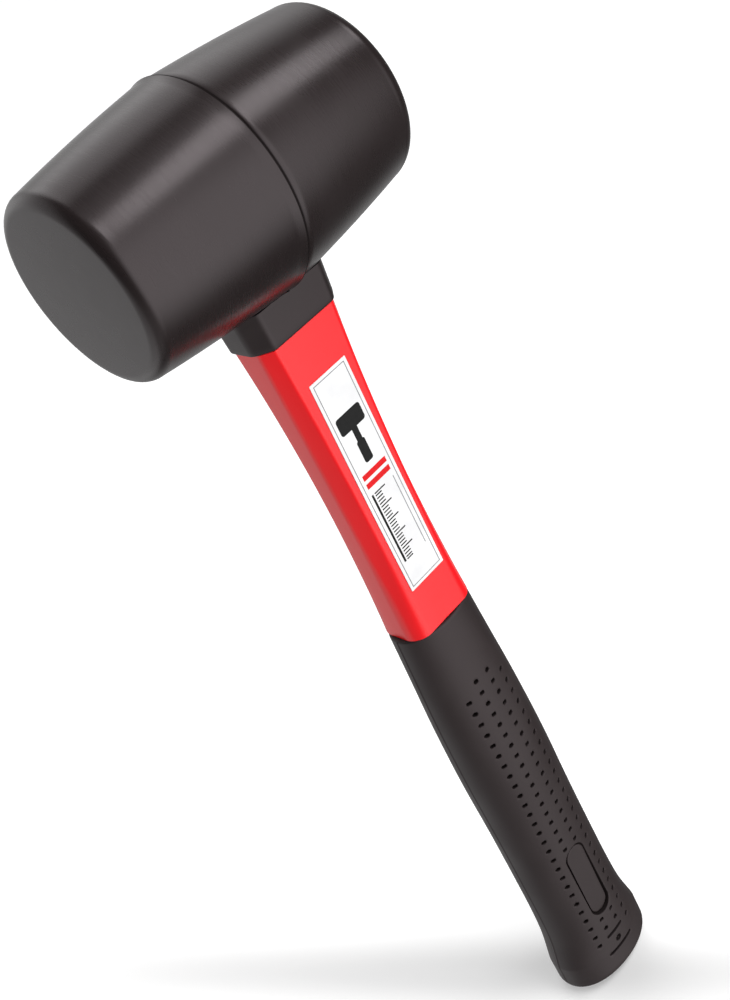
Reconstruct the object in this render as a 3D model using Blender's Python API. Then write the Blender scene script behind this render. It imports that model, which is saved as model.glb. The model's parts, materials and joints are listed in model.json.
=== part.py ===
"""Rubber mallet with a fibreglass-cored handle, as separate named pieces.

Lengths are in metres. +Z runs up the handle to the head, +X along the head's axis to its rear
striking face, and -Y is the labelled front of the handle. The origin is the lowest point of the
butt, straight below the middle of the head.
"""
import math

import bmesh
import bpy

MM = 0.001
GAP = 0.3 * MM                       # clearance between pieces that touch

# Head: two barrels that meet at a raised lip on the mould's parting line
AXIS_HEIGHT = 308.7 * MM             # the head's axis, above the end of the butt
HEAD_HALF_LENGTH = 45.45 * MM
LIP_RADIUS = 30.0 * MM
LIP_X = -0.45 * MM                   # crest of the lip
LIP_ROUNDING = 1.55 * MM
BEAD_RADIUS = 29.1 * MM              # where the front barrel meets the bead below the lip
BEAD_LENGTH = 2.45 * MM
REAR_START_RADIUS = 29.55 * MM       # the rear barrel starts lower than the lip
FRONT_FACE_RADIUS = 25.7 * MM
FRONT_FACE_ROUNDING = 3.7 * MM
FRONT_CROWN = 0.64 * MM
REAR_FACE_RADIUS = 25.4 * MM
REAR_FACE_ROUNDING = 4.5 * MM
REAR_CROWN = 0.40 * MM
HEAD_SEGMENTS = 64

# Handle jacket: an octagonal shank between a tenon in the head and a tang in the grip
COLLAR_BOTTOM = AXIS_HEIGHT - 38.9 * MM
COLLAR_TOP = AXIS_HEIGHT - 27.9 * MM
GRIP_TOP = AXIS_HEIGHT - 140.8 * MM
SHANK_TOP = AXIS_HEIGHT - 30.6 * MM
# half width, half depth, half of the front flat, half of the side flat
SHANK_AT_COLLAR = (13.80 * MM, 8.70 * MM, 10.80 * MM, 5.00 * MM)
SHANK_HALFWAY = (11.95 * MM, 8.10 * MM, 8.90 * MM, 3.35 * MM)
SHANK_AT_GRIP = (12.60 * MM, 8.85 * MM, 9.30 * MM, 5.30 * MM)
SHANK_IN_COLLAR = (13.30 * MM, 8.20 * MM, 10.40 * MM, 4.70 * MM)
SHANK_EDGE = 0.8 * MM                # rounding of the shank's long edges
SHANK_STATIONS = 12
TENON_BASE = (11.00 * MM, 6.75 * MM, 9.50 * MM, 5.25 * MM)
TENON_END = (10.40 * MM, 6.20 * MM, 8.90 * MM, 4.70 * MM)
TENON_TOP = AXIS_HEIGHT + 14.0 * MM
TENON_EDGE = 0.6 * MM
KEY_GROOVES = (290.7 * MM, 300.7 * MM, 310.7 * MM)   # heights of the glue grooves
KEY_GROOVE_WIDTH = 3.0 * MM
KEY_GROOVE_DEPTH = 0.8 * MM
TANG_TOP = (10.20 * MM, 7.20 * MM, 7.40 * MM, 4.40 * MM)
TANG_END = (9.60 * MM, 6.90 * MM, 6.80 * MM, 4.10 * MM)
TANG_BOTTOM = 10.7 * MM

# Fibreglass core, glue layer and neck collar
CORE = (7.0 * MM, 4.5 * MM, 4.6 * MM, 2.1 * MM)
CORE_EDGE = 1.2 * MM
CORE_BOTTOM = 18.7 * MM
CORE_WAIST = 0.5 * MM                # how much each side of the core draws in half way up
CORE_BANDS = 12
EPOXY_WALL = 0.8 * MM
EPOXY_BOTTOM = AXIS_HEIGHT - 27.0 * MM
COLLAR_AT_TOP = (15.80 * MM, 9.90 * MM, 11.50 * MM, 4.80 * MM)
COLLAR_AT_BOTTOM = (15.10 * MM, 9.50 * MM, 11.00 * MM, 4.45 * MM)
COLLAR_CHAMFER = 0.5 * MM

# Grip: oval sections from its top edge down to the butt
GRIP_STATIONS = (                    # height, half width, half depth
    (GRIP_TOP, 13.9 * MM, 9.8 * MM),
    (149.0 * MM, 14.8 * MM, 10.3 * MM),
    (129.0 * MM, 15.7 * MM, 11.2 * MM),
    (104.0 * MM, 16.1 * MM, 12.1 * MM),
    (79.0 * MM, 15.9 * MM, 11.9 * MM),
    (54.0 * MM, 16.0 * MM, 11.9 * MM),
    (37.0 * MM, 16.2 * MM, 12.2 * MM),
    (25.0 * MM, 16.9 * MM, 12.5 * MM),
    (13.0 * MM, 19.0 * MM, 12.6 * MM),
)
GRIP_DRIFT = 2.3 * MM                # how far the butt's middle stands towards +X
GRIP_EXPONENT = 2.1                  # section shape: 2 is an ellipse, more is squarer
BUTT_ROUNDING_HEIGHT = 5.2 * MM
BUTT_ROUNDING_INSET = 11.2 * MM
BUTT_ROUNDING_EXPONENT = 2.75
GRIP_SEGMENTS = 48
GRIP_RINGS = 26
BUTT_RINGS = 7

# Label on the front flat of the shank
LABEL_TOP = AXIS_HEIGHT - 53.4 * MM
LABEL_BOTTOM = AXIS_HEIGHT - 124.8 * MM
LABEL_HALF_WIDTH = 6.8 * MM
LABEL_THICKNESS = 0.15 * MM
LABEL_LIFT = 0.1 * MM

CORNER_POINTS = 4                    # points on each rounded corner of an octagon
OVERSHOOT = 5.0 * MM                 # how far a cutter runs past the face it opens


# ---- outlines -----------------------------------------------------------------------------------

def mix(first, second, share):
    return tuple(a + (b - a) * share for a, b in zip(first, second))


def grown(section, margin):
    """An octagon section with every face moved outwards by margin."""
    half_width, half_depth, front_flat, side_flat = section
    slide = margin * math.tan(math.pi / 8)
    return (half_width + margin, half_depth + margin, front_flat + slide, side_flat + slide)


def octagon_ring(section, height, edge):
    """An octagon's outline at one height, its corners rounded back by edge."""
    a, h, c, s = section
    corners = [(a, -s), (a, s), (c, h), (-c, h), (-a, s), (-a, -s), (-c, -h), (c, -h)]
    ring = []
    for index, (x, y) in enumerate(corners):
        before = corners[index - 1]
        after = corners[(index + 1) % len(corners)]
        start = step_towards((x, y), before, edge)
        end = step_towards((x, y), after, edge)
        for step in range(CORNER_POINTS):
            t = step / (CORNER_POINTS - 1)
            px = (1 - t) ** 2 * start[0] + 2 * t * (1 - t) * x + t * t * end[0]
            py = (1 - t) ** 2 * start[1] + 2 * t * (1 - t) * y + t * t * end[1]
            ring.append((px, py, height))
    return ring


def step_towards(point, target, distance):
    dx = target[0] - point[0]
    dy = target[1] - point[1]
    share = distance / math.hypot(dx, dy)
    return (point[0] + dx * share, point[1] + dy * share)


def oval_ring(middle_x, half_width, half_depth, height):
    """The grip's section: a superellipse with its middle at middle_x."""
    power = 2 / GRIP_EXPONENT
    ring = []
    for index in range(GRIP_SEGMENTS):
        angle = 2 * math.pi * index / GRIP_SEGMENTS
        cosine = math.cos(angle)
        sine = math.sin(angle)
        x = middle_x + half_width * math.copysign(abs(cosine) ** power, cosine)
        y = half_depth * math.copysign(abs(sine) ** power, sine)
        ring.append((x, y, height))
    return ring


def arc(centre_x, centre_radius, radius, start_deg, end_deg, count):
    points = []
    for index in range(count):
        angle = math.radians(start_deg + (end_deg - start_deg) * index / (count - 1))
        points.append((centre_x + radius * math.cos(angle), centre_radius + radius * math.sin(angle)))
    return points


def crowned_line(start, end, crown, count):
    """Points between start and end on a line that swells by crown half way along."""
    points = []
    for index in range(1, count):
        share = index / count
        x, radius = mix(start, end, share)
        points.append((x, radius + crown * 4 * share * (1 - share)))
    return points


def shank_section(height):
    """The shank's section at one height, on a parabola through its three stated sections."""
    t = (COLLAR_BOTTOM - height) / (COLLAR_BOTTOM - GRIP_TOP)
    weights = ((1 - t) * (1 - 2 * t), 4 * t * (1 - t), t * (2 * t - 1))
    sections = (SHANK_AT_COLLAR, SHANK_HALFWAY, SHANK_AT_GRIP)
    return tuple(sum(w * size for w, size in zip(weights, sizes)) for sizes in zip(*sections))


def core_rings(margin, bottom, top):
    """Rings of the core's waisted section, grown by a margin, from bottom to top."""
    rings = []
    for band in range(CORE_BANDS + 1):
        height = bottom + (top - bottom) * band / CORE_BANDS
        share = (height - CORE_BOTTOM) / (TENON_TOP - CORE_BOTTOM)
        waist = CORE_WAIST * 4 * share * (1 - share)
        rings.append(octagon_ring(grown(CORE, margin - waist), height, CORE_EDGE))
    return rings


def grip_size(height):
    """Half width and half depth of the grip, on a smooth curve through its stations."""
    stations = GRIP_STATIONS
    height = max(height, stations[-1][0])
    index = 0
    while index < len(stations) - 2 and height < stations[index + 1][0]:
        index += 1
    p1 = stations[index]
    p2 = stations[index + 1]
    p0 = stations[max(index - 1, 0)]
    p3 = stations[min(index + 2, len(stations) - 1)]
    span = p2[0] - p1[0]
    t = (height - p1[0]) / span
    sizes = []
    for axis in (1, 2):
        slope_1 = (p2[axis] - p0[axis]) / (p2[0] - p0[0]) * span
        slope_2 = (p3[axis] - p1[axis]) / (p3[0] - p1[0]) * span
        value = (2 * t ** 3 - 3 * t ** 2 + 1) * p1[axis] + (t ** 3 - 2 * t ** 2 + t) * slope_1
        value += (3 * t ** 2 - 2 * t ** 3) * p2[axis] + (t ** 3 - t ** 2) * slope_2
        sizes.append(value)
    return sizes


def grip_ring(height, inset):
    half_width, half_depth = grip_size(height)
    middle_x = GRIP_DRIFT * (GRIP_TOP - height) / GRIP_TOP
    return oval_ring(middle_x, half_width - inset, half_depth - inset, height)


# ---- meshes -------------------------------------------------------------------------------------

def new_object(name, mesh, smooth_deg):
    item = bpy.data.objects.new(name, mesh)
    bpy.context.scene.collection.objects.link(item)
    mesh.shade_smooth()
    mesh.set_sharp_from_angle(angle=math.radians(smooth_deg))
    return item


def finish_mesh(mesh_builder, name, smooth_deg):
    bmesh.ops.recalc_face_normals(mesh_builder, faces=mesh_builder.faces)
    mesh = bpy.data.meshes.new(name)
    mesh_builder.to_mesh(mesh)
    mesh_builder.free()
    return new_object(name, mesh, smooth_deg)


def loft(name, rings, smooth_deg=30):
    """A closed solid through rings of equal count, capped at both ends."""
    builder = bmesh.new()
    loops = [[builder.verts.new(point) for point in ring] for ring in rings]
    count = len(loops[0])
    for lower, upper in zip(loops, loops[1:]):
        for index in range(count):
            after = (index + 1) % count
            builder.faces.new((lower[index], lower[after], upper[after], upper[index]))
    builder.faces.new(loops[0])
    builder.faces.new(loops[-1])
    return finish_mesh(builder, name, smooth_deg)


def turned(name, profile, smooth_deg=30):
    """A solid turned about the head's axis from (x, radius) points that start and end on it."""
    builder = bmesh.new()
    verts = [builder.verts.new((x, 0, AXIS_HEIGHT + radius)) for x, radius in profile]
    edges = [builder.edges.new(pair) for pair in zip(verts, verts[1:])]
    bmesh.ops.spin(builder, geom=verts + edges, cent=(0, 0, AXIS_HEIGHT), axis=(1, 0, 0),
                   angle=2 * math.pi, steps=HEAD_SEGMENTS, use_duplicate=False)
    bmesh.ops.remove_doubles(builder, verts=builder.verts, dist=0.01 * MM)
    return finish_mesh(builder, name, smooth_deg)


def as_cutter(item):
    item.hide_render = True
    item.display_type = 'WIRE'
    return item


def cut(target, cutter):
    modifier = target.modifiers.new("cut_" + cutter.name, 'BOOLEAN')
    modifier.operation = 'DIFFERENCE'
    modifier.solver = 'EXACT'
    modifier.object = cutter


def give_material(item, name, colour, roughness):
    material = bpy.data.materials.new(name)
    material.use_nodes = True
    shader = material.node_tree.nodes["Principled BSDF"]
    shader.inputs["Base Color"].default_value = (*colour, 1.0)
    shader.inputs["Roughness"].default_value = roughness
    shader.inputs["Metallic"].default_value = 0.0
    item.data.materials.append(material)


# ---- pieces -------------------------------------------------------------------------------------

def head_profile(margin):
    """Half of the head's outline, from the front pole to the rear pole, grown by margin."""
    front_x = -HEAD_HALF_LENGTH
    rear_x = HEAD_HALF_LENGTH
    front_edge = (front_x + FRONT_FACE_ROUNDING, FRONT_FACE_RADIUS - FRONT_FACE_ROUNDING)
    rear_edge = (rear_x - REAR_FACE_ROUNDING, REAR_FACE_RADIUS - REAR_FACE_ROUNDING)
    bead = (LIP_X - BEAD_LENGTH, BEAD_RADIUS)
    lip_centre = LIP_RADIUS - LIP_ROUNDING
    lip_drop = math.degrees(math.asin((REAR_START_RADIUS - lip_centre) / LIP_ROUNDING))
    points = [(front_x, 0)]
    points += arc(*front_edge, FRONT_FACE_ROUNDING, 180, 90, 7)
    points += crowned_line((front_edge[0], FRONT_FACE_RADIUS), bead, FRONT_CROWN, 8)
    points.append(bead)
    points += arc(LIP_X, lip_centre, LIP_ROUNDING, 90, lip_drop, 4)
    rear_start = points[-1]
    points += crowned_line(rear_start, (rear_edge[0], REAR_FACE_RADIUS), REAR_CROWN, 8)
    points += arc(*rear_edge, REAR_FACE_ROUNDING, 90, 0, 7)
    points.append((rear_x, 0))
    return [(x, radius + margin if radius > 0 else 0) for x, radius in points]


def tenon_section(height):
    share = (height - SHANK_TOP) / (TENON_TOP - SHANK_TOP)
    return mix(TENON_BASE, TENON_END, share)


def tenon_rings(margin, heights):
    """Rings of the tenon's outer shape, grown by margin."""
    sections = [grown(tenon_section(height), margin) for height in heights]
    return [octagon_ring(section, z, TENON_EDGE) for section, z in zip(sections, heights)]


def make_rubber_head():
    head = turned("rubber_head", head_profile(0))
    margin = EPOXY_WALL + 2 * GAP
    heights = (EPOXY_BOTTOM - OVERSHOOT, TENON_TOP + margin)
    cut(head, as_cutter(loft("head_socket", tenon_rings(margin, heights))))
    give_material(head, "head_rubber", (0.052, 0.047, 0.047), 0.5)


def make_epoxy_bond():
    """A cup of resin over the tenon: its outside from the top down, then its inside back up."""
    margin = GAP + EPOXY_WALL
    rings = tenon_rings(margin, (TENON_TOP + margin, EPOXY_BOTTOM))
    rings += tenon_rings(GAP, (EPOXY_BOTTOM, TENON_TOP + GAP))
    give_material(loft("epoxy_bond", rings), "epoxy", (0.55, 0.42, 0.20), 0.3)


def make_handle_jacket():
    rings = [octagon_ring(TANG_END, TANG_BOTTOM, SHANK_EDGE)]
    step = GRIP_TOP + GAP
    rings.append(octagon_ring(TANG_TOP, step, SHANK_EDGE))
    shoulder = COLLAR_BOTTOM - GAP
    for index in range(SHANK_STATIONS + 1):
        height = step + (shoulder - step) * index / SHANK_STATIONS
        rings.append(octagon_ring(shank_section(height), height, SHANK_EDGE))
    rings.append(octagon_ring(SHANK_IN_COLLAR, shoulder, SHANK_EDGE))
    rings.append(octagon_ring(SHANK_IN_COLLAR, SHANK_TOP, SHANK_EDGE))
    rings.append(octagon_ring(tenon_section(SHANK_TOP), SHANK_TOP, TENON_EDGE))
    for middle in KEY_GROOVES:
        low = middle - KEY_GROOVE_WIDTH / 2
        high = middle + KEY_GROOVE_WIDTH / 2
        floor = grown(tenon_section(middle), -KEY_GROOVE_DEPTH)
        rings.append(octagon_ring(tenon_section(low), low, TENON_EDGE))
        rings.append(octagon_ring(floor, low + KEY_GROOVE_DEPTH, TENON_EDGE))
        rings.append(octagon_ring(floor, high - KEY_GROOVE_DEPTH, TENON_EDGE))
        rings.append(octagon_ring(tenon_section(high), high, TENON_EDGE))
    rings.append(octagon_ring(TENON_END, TENON_TOP, TENON_EDGE))
    # the outline turns in at the tenon's end and runs down the core's bore
    rings.extend(core_rings(GAP, CORE_BOTTOM - GAP, TENON_TOP)[::-1])
    jacket = loft("handle_jacket", rings)
    give_material(jacket, "red_jacket", (0.74, 0.015, 0.018), 0.25)


def make_fibreglass_core():
    rings = core_rings(0, CORE_BOTTOM, TENON_TOP - GAP)
    give_material(loft("fibreglass_core", rings), "fibreglass", (0.62, 0.58, 0.42), 0.45)


def make_neck_collar():
    chamfered = grown(COLLAR_AT_BOTTOM, -COLLAR_CHAMFER)
    rings = [octagon_ring(chamfered, COLLAR_BOTTOM, SHANK_EDGE)]
    rings.append(octagon_ring(COLLAR_AT_BOTTOM, COLLAR_BOTTOM + COLLAR_CHAMFER, SHANK_EDGE))
    rings.append(octagon_ring(COLLAR_AT_TOP, COLLAR_TOP, SHANK_EDGE))
    collar = loft("neck_collar", rings)
    bore_section = grown(SHANK_IN_COLLAR, GAP)
    bore_heights = (COLLAR_BOTTOM - OVERSHOOT, COLLAR_TOP + OVERSHOOT)
    bore_rings = [octagon_ring(bore_section, height, SHANK_EDGE) for height in bore_heights]
    cut(collar, as_cutter(loft("collar_bore", bore_rings)))
    cut(collar, as_cutter(turned("head_clearance", head_profile(GAP))))
    give_material(collar, "collar_rubber", (0.050, 0.044, 0.045), 0.55)


def make_soft_grip():
    rings = []
    for index in range(BUTT_RINGS):
        # the steps crowd together at the bottom, where the rounding turns fastest
        share = math.cos(0.5 * math.pi * index / BUTT_RINGS)
        power = BUTT_ROUNDING_EXPONENT
        inset = BUTT_ROUNDING_INSET * (1 - (1 - share ** power) ** (1 / power))
        rings.append(grip_ring(BUTT_ROUNDING_HEIGHT * (1 - share), inset))
    for index in range(GRIP_RINGS + 1):
        height = BUTT_ROUNDING_HEIGHT + (GRIP_TOP - BUTT_ROUNDING_HEIGHT) * index / GRIP_RINGS
        rings.append(grip_ring(height, 0))
    grip = loft("soft_grip", rings, smooth_deg=50)
    cavity_top = octagon_ring(grown(TANG_TOP, GAP), GRIP_TOP + GAP, SHANK_EDGE)
    cavity_mouth = octagon_ring(grown(TANG_TOP, GAP), GRIP_TOP + OVERSHOOT, SHANK_EDGE)
    cavity_end = octagon_ring(grown(TANG_END, GAP), TANG_BOTTOM - GAP, SHANK_EDGE)
    cut(grip, as_cutter(loft("tang_cavity", [cavity_end, cavity_top, cavity_mouth])))
    give_material(grip, "grip_rubber", (0.042, 0.037, 0.037), 0.6)


def make_label():
    """A thin sheet that follows the front flat of the shank."""
    rings = []
    for index in range(SHANK_STATIONS + 1):
        height = LABEL_BOTTOM + (LABEL_TOP - LABEL_BOTTOM) * index / SHANK_STATIONS
        back = -shank_section(height)[1] - LABEL_LIFT
        front = back - LABEL_THICKNESS
        w = LABEL_HALF_WIDTH
        rings.append([(-w, front, height), (w, front, height), (w, back, height), (-w, back, height)])
    give_material(loft("label", rings), "label_face", (0.93, 0.93, 0.93), 0.35)


def main():
    for item in list(bpy.data.objects):
        bpy.data.objects.remove(item, do_unlink=True)
    make_rubber_head()
    make_epoxy_bond()
    make_handle_jacket()
    make_fibreglass_core()
    make_neck_collar()
    make_soft_grip()
    make_label()


main()
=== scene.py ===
"""Looks for the rubber mallet: detailed pieces, materials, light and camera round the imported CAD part.

Lengths are in metres in the row frame. +Z runs up the handle to the head, +X along the head's axis
to its rear striking face, and -Y is the labelled front of the handle.
"""

import json
import math

import bmesh
import bpy
from mathutils import Matrix, Vector

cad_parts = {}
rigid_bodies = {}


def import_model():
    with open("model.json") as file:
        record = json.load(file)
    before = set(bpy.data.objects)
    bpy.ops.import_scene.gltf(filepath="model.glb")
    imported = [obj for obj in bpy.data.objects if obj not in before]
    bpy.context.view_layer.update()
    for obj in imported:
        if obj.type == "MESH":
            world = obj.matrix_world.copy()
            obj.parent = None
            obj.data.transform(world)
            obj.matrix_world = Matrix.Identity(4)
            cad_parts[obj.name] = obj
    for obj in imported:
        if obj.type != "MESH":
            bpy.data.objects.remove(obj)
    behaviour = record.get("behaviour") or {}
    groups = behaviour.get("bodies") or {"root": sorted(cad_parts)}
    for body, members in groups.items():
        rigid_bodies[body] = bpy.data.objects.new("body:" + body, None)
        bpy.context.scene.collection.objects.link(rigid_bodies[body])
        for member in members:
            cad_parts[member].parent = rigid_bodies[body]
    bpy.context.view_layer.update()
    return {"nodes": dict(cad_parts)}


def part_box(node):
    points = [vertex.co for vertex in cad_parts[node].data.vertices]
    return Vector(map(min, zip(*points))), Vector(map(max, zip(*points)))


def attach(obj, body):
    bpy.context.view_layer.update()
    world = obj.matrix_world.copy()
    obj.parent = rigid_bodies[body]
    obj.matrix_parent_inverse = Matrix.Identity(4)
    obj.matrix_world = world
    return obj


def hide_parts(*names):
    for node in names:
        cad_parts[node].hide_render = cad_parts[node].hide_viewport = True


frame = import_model()

MM = 0.001
GAP = 0.3 * MM                       # clearance between pieces that touch
BODY = "root"

# ---- driving dimensions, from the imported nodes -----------

HEAD_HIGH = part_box("rubber_head")[1]
GRIP_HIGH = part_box("soft_grip")[1]
COLLAR_LOW, COLLAR_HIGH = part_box("neck_collar")
LABEL_LOW, LABEL_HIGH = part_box("label")
JACKET_LOW, JACKET_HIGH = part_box("handle_jacket")

LIP_RADIUS = HEAD_HIGH.y
AXIS_HEIGHT = HEAD_HIGH.z - LIP_RADIUS
HEAD_HALF_LENGTH = HEAD_HIGH.x
COLLAR_BOTTOM = COLLAR_LOW.z
COLLAR_TOP = COLLAR_HIGH.z
GRIP_TOP = GRIP_HIGH.z
TENON_TOP = JACKET_HIGH.z
TANG_BOTTOM = JACKET_LOW.z
LABEL_TOP = LABEL_HIGH.z
LABEL_BOTTOM = LABEL_LOW.z
LABEL_HALF_WIDTH = LABEL_HIGH.x

# Head: two barrels that meet at a raised lip on the mould's parting line
LIP_X = -0.30 * MM
LIP_ROUNDING = 0.25 * MM
LIP_RISE_START = -3.0 * MM           # where the front barrel begins to swell up to the lip
LIP_RISE_RADIUS = 29.55 * MM
LIP_RISE_POWER = 1.5                 # above 1, the rise starts gently
LIP_FOOT = 1.2                       # where the rear barrel starts, in roundings behind the lip
LIP_CREASE = 0.75 * MM               # how far the rear barrel dips at the foot of the lip
LIP_CREASE_LENGTH = 2.0 * MM
LIP_SHADE_LENGTH = 1.1 * MM          # how far the crease's dark shade reaches
REAR_START_RADIUS = 29.55 * MM
FRONT_FACE_RADIUS = 25.85 * MM
FACE_CROWN = 0.3 * MM                # how far the front face falls back at its edge
FRONT_FACE_ROUNDING = 3.7 * MM
FRONT_CROWN = 0.38 * MM
REAR_FACE_RADIUS = 25.4 * MM
REAR_FACE_ROUNDING = 4.5 * MM
REAR_CROWN = 0.40 * MM
HEAD_SEGMENTS = 192
FACE_STEPS = 12                      # points on each stretch of the head's outline
FRONT_STEPS = 24
RISE_STEPS = 12
LIP_STEPS = 8
REAR_STEPS = 90
FACE_CORNER_STEPS = 15
REAR_FACE_STEPS = 8

# Handle jacket: half width, half depth, half of the front flat, half of the side flat
SHANK_TOP = AXIS_HEIGHT - 30.6 * MM
SHANK_AT_COLLAR = (13.80 * MM, 8.70 * MM, 10.80 * MM, 5.00 * MM)
SHANK_HALFWAY = (11.95 * MM, 8.10 * MM, 8.90 * MM, 3.35 * MM)
SHANK_AT_GRIP = (12.60 * MM, 8.85 * MM, 9.30 * MM, 5.30 * MM)
SHANK_IN_COLLAR = (13.30 * MM, 8.20 * MM, 10.40 * MM, 4.70 * MM)
SHANK_EDGE = 0.9 * MM
SHANK_EDGE_AT_GRIP = 2.2 * MM        # the shank's edges soften as it nears the grip
SHANK_SOFT_SHARE = 0.4               # share of the shank's length over which they do
SHANK_STATIONS = 60
TENON_BASE = (11.00 * MM, 6.75 * MM, 9.50 * MM, 5.25 * MM)
TENON_END = (10.40 * MM, 6.20 * MM, 8.90 * MM, 4.70 * MM)
TENON_EDGE = 0.6 * MM
KEY_GROOVES = (AXIS_HEIGHT - 18 * MM, AXIS_HEIGHT - 8 * MM, AXIS_HEIGHT + 2 * MM)
KEY_GROOVE_WIDTH = 3.0 * MM
KEY_GROOVE_DEPTH = 0.8 * MM
TANG_TOP = (10.20 * MM, 7.20 * MM, 7.40 * MM, 4.40 * MM)
TANG_END = (9.60 * MM, 6.90 * MM, 6.80 * MM, 4.10 * MM)
CORE = (7.0 * MM, 4.5 * MM, 4.6 * MM, 2.1 * MM)
CORE_EDGE = 1.2 * MM
CORE_BOTTOM = TANG_BOTTOM + 8 * MM
CORE_WAIST = 0.5 * MM                # copied from the CAD core; a real rod is straight
CORE_BANDS = 12
EPOXY_WALL = 0.8 * MM
EPOXY_BOTTOM = AXIS_HEIGHT - 27.0 * MM

# Neck collar
COLLAR_AT_TOP = (15.80 * MM, 9.90 * MM, 11.50 * MM, 4.80 * MM)
COLLAR_AT_BOTTOM = (15.10 * MM, 9.50 * MM, 11.00 * MM, 4.45 * MM)
COLLAR_EDGE = 1.3 * MM
COLLAR_CHAMFER = 0.5 * MM
COLLAR_CHAMFER_STEPS = 3
COLLAR_BANDS = 8

# Grip: height, half width and half depth of its oval sections, from the top edge to the butt
GRIP_STATIONS = (
    (GRIP_TOP, 13.9 * MM, 9.8 * MM),
    (149.0 * MM, 14.8 * MM, 10.3 * MM),
    (129.0 * MM, 15.7 * MM, 11.2 * MM),
    (104.0 * MM, 16.1 * MM, 12.1 * MM),
    (79.0 * MM, 15.9 * MM, 11.9 * MM),
    (54.0 * MM, 16.0 * MM, 11.9 * MM),
    (37.0 * MM, 16.2 * MM, 12.2 * MM),
    (25.0 * MM, 16.9 * MM, 12.5 * MM),
    (13.0 * MM, 19.0 * MM, 12.6 * MM),
)
GRIP_DRIFT = 2.3 * MM                # how far the butt's middle stands towards +X
GRIP_EXPONENT = 2.1                  # section shape: 2 is an ellipse, more is squarer
GRIP_TOP_ROUNDING = 0.5 * MM
BUTT_ROUNDING_HEIGHT = 5.2 * MM
BUTT_ROUNDING_INSET = 11.2 * MM
BUTT_ROUNDING_EXPONENT = 2.75
BUTT_RINGS = 22
GRIP_TOP_RINGS = 4
GRIP_ROW_STEPS = (0.235 * MM, 0.8 * MM)      # between the grip's rings: on the pattern, and off it
GRIP_COLUMN_STEPS = (0.21 * MM, 0.45 * MM)   # and between the points across its front
GRIP_SIDE_STEPS = 11
DOT_ZONE_ACROSS = 0.9 * MM           # how far the fine steps reach from a dot's middle
DOT_ZONE_ALONG = 0.8 * MM
GROOVE_ZONE = 0.6 * MM
PAD_SIDE_ZONE = 0.4 * MM
PAD_END_ZONE = (0.3 * MM, 3.5 * MM)  # outside and inside the pad's ends

# Moulded pattern on the grip's front, repeated on its back. Across is measured from the grip's middle
FEATURE_HALF_WIDTH = 9.3 * MM
DOT_PITCH = 4.63 * MM
DOT_HALF_WIDTH = 0.78 * MM
DOT_HALF_HEIGHT = 0.62 * MM
DOT_EXPONENT = 2.6
DOT_DEPTH = 1.5 * MM
DOT_WALL = (0.75, 1.12)              # where a dot's wall starts and ends, in its half sizes
DOT_SHADE = (0.9, 1.12)              # and where its dark shade does
OUTER_DOTS_ACROSS = 7.67 * MM
OUTER_DOTS_TOP = 138.9 * MM
OUTER_DOTS = range(27)
INNER_DOTS_ACROSS = 2.63 * MM
INNER_DOTS_TOP = 143.8 * MM
INNER_DOTS = (*range(18), 25, 26)    # the pad takes the places between
PAD_TOP = 63.2 * MM
PAD_BOTTOM = 30.0 * MM
PAD_HALF_WIDTH = 4.3 * MM
PAD_FLOOR = (11.55 * MM, 11.15 * MM)  # out from the grip's middle, at the pad's top and bottom
PAD_WALL = (-0.2 * MM, 0.06 * MM)    # where the pad's wall starts and ends, out from its outline
PAD_LINE_WALL = (0.3, 1.0)           # the same for the sunk line round it, in half widths
PAD_LINE_HALF_WIDTH = 0.36 * MM
PAD_LINE_DEPTH = 0.6 * MM
PAD_LINE_INSET = 0.1 * MM            # from the pad's outline in to the middle of its sunk line
PAD_REACH = 1 * MM                   # how far outside its outline the pad's edge is looked for
GROOVES = ((19.1 * MM, 3.9 * MM), (11.5 * MM, 5.75 * MM))   # height, half length
GROOVE_HALF_WIDTH = 0.62 * MM
GROOVE_DEPTH = 0.9 * MM
GROOVE_WALL = (0.5, 1.15)            # wall and shade of the grooves and of the dimple's ring
GROOVE_SHADE = (0.8, 1.2)
DIMPLE_HEIGHT = 14.8 * MM
DIMPLE_RADIUS = 0.7 * MM             # of the ring's middle line
DIMPLE_HALF_WIDTH = 0.42 * MM
SEAM_HALF_WIDTH = 0.3 * MM
SEAM_HEIGHT = 0.25 * MM
SEAM_SHARE = 0.022                   # unit of the seam's points, as a share of the way to the pattern
SEAM_PLACES = (-2, -1.3, -0.6, 0, 0.6, 1.3, 2)      # points across the seam, in that unit

# Label and its print
LABEL_LIFT = 0.1 * MM
LABEL_THICKNESS = 0.15 * MM
INK_LIFT = 0.01 * MM
INK_THICKNESS = 0.02 * MM
LABEL_CORNER = 0.15 * MM
LABEL_BAND = 4 * MM                  # height between the cuts that let the sheets follow the shank
PRINT_INSET = 0.95 * MM
PRINT_LINE = 0.2 * MM
PRINT_HALF_WIDTH = 4.6 * MM
ICON_DROP = 13 * MM                  # from the label's top to the mallet pictogram
ICON_HEAD = (5.4 * MM, 0.9 * MM)     # height and corner radius
ICON_NECK = (9.4 * MM, 1.0 * MM)     # how far below the icon's top it ends, and half width
ICON_HOLD = (16.4 * MM, 1.5 * MM, 0.7 * MM)     # the same, and corner radius
STRIPES_DROP = 18.6 * MM
STRIPE_HEIGHT = 1.7 * MM
STRIPE_PITCH = 2.8 * MM
SCALE_DROP = 6.6 * MM
SCALE_LENGTH = 24 * MM
SCALE_BAR_WIDTH = 0.7 * MM
SCALE_TICKS = 25
TICK_START = -3.4 * MM
TICK_LENGTH = 2.4 * MM
LONG_TICK_LENGTH = 4.2 * MM          # of every fifth tick
TICK_HALF_WIDTH = 0.2 * MM
RULE_START = 4.2 * MM

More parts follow.
